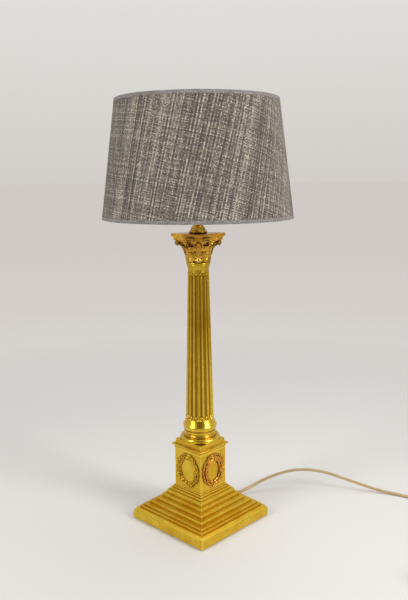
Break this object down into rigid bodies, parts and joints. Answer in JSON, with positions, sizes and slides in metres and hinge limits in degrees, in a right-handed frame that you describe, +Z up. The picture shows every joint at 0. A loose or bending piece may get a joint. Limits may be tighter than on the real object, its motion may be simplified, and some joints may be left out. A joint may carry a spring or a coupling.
{
  "type": "column table lamp",
  "caption": "Table lamp: a fluted brass column with a leafy capital on a stepped square base, and a tapered fabric drum shade.",
  "frame": {"origin": "middle of the base's underside, at the level of the table", "axes": "+Z up along the column, the base's sides along X and Y, +Y towards the side where the cord leaves"},
  "size_m": [0.6517, 0.5303, 0.8],
  "materials": {
    "felt": "dark green felt",
    "steel_plate": "black painted sheet steel",
    "base_brass": "cast, polished and lightly gilt, warm yellow",
    "column_brass": "turned and polished, warm yellow",
    "capital_brass": "cast, polished on the high places and darker in the hollows",
    "wreath_brass": "cast, darker in the hollows",
    "wreath_copper": "cast, reddish copper tone",
    "plain_brass": "plain brass",
    "zinc_steel": "zinc plated",
    "white_ceramic": "plain white",
    "solder": "dull solder",
    "black_glass": "black",
    "nickel_cap": "nickel plated",
    "bulb_glass": "clear",
    "filament": "yellow coated rod",
    "shade_fabric": "coarse grey and beige slub weave",
    "shade_lining": "white laminate",
    "edge_tape": "plain grey ribbed tape",
    "white_wire": "white powder coat",
    "gold_plastic": "gold-brown",
    "dark_plastic": "darker gold-brown",
    "gold_cord": "gold-brown round flex"
  },
  "bodies": {
    "lamp": {"abacus": "capital_brass", "astragal": "column_brass", "attic_base": "column_brass", "bottom_cover": "steel_plate", "capital": "capital_brass", "centre_contact": "plain_brass", "clamp_plate": "zinc_steel", "column_shaft": "column_brass", "cord_bush": "gold_plastic", "cord_coil": "gold_cord", "cord_end": "gold_cord", "cord_lead": "gold_cord", "cord_tail": "gold_cord", "cover_screws": "steel_plate", "earth_tag": "plain_brass", "felt_pad": "felt", "holder_cap": "plain_brass", "holder_insert": "white_ceramic", "holder_skirt": "plain_brass", "inner_lead": "gold_cord", "pedestal_cornice": "base_brass", "pedestal_die": "base_brass", "plinth_tile": "base_brass", "plug_body": "gold_plastic", "plug_earth_clips": "nickel_cap", "plug_pins": "nickel_cap", "rod_nut": "zinc_steel", "screw_shell": "plain_brass", "shade_ring_lower": "plain_brass", "shade_ring_upper": "plain_brass", "stem_sleeve": "column_brass", "stepped_base": "base_brass", "switch_lower": "gold_plastic", "switch_screws": "zinc_steel", "switch_upper": "gold_plastic", "terminal_screws": "plain_brass", "tie_rod": "zinc_steel", "vase_cap": "column_brass", "wreath_back": "wreath_brass", "wreath_front": "wreath_brass", "wreath_left": "wreath_copper", "wreath_pins": "plain_brass", "wreath_right": "wreath_copper"},
    "shade": {"shade_cover": "shade_fabric", "shade_lining": "shade_lining", "bottom_tape": "edge_tape", "top_tape": "edge_tape", "bottom_ring_wire": "white_wire", "top_ring_wire": "white_wire", "fitter_ring": "white_wire", "spider_arms": "white_wire"},
    "bulb": {"bulb_tip": "solder", "bulb_insulator": "black_glass", "bulb_cap": "nickel_cap", "bulb_glass": "bulb_glass", "bulb_stem": "bulb_glass", "bulb_filaments": "filament"},
    "rocker": {"switch_rocker": "dark_plastic"}
  },
  "joints": [
    {"name": "shade_turn", "type": "hinge", "parent": "lamp", "child": "shade", "pos_m": [0, 0, 0.63], "axis": [0, 0, 1], "continuous": true},
    {"name": "bulb_out", "type": "slide", "parent": "lamp", "child": "bulb", "axis": [0, 0, 1], "range_m": [0, 0.06]},
    {"name": "switch_rock", "type": "hinge", "parent": "lamp", "child": "rocker", "pos_m": [0.37685, 0.3185, 0.0132], "axis": [-0.5, -0.866, 0], "range_deg": [0, 16]}
  ]
}
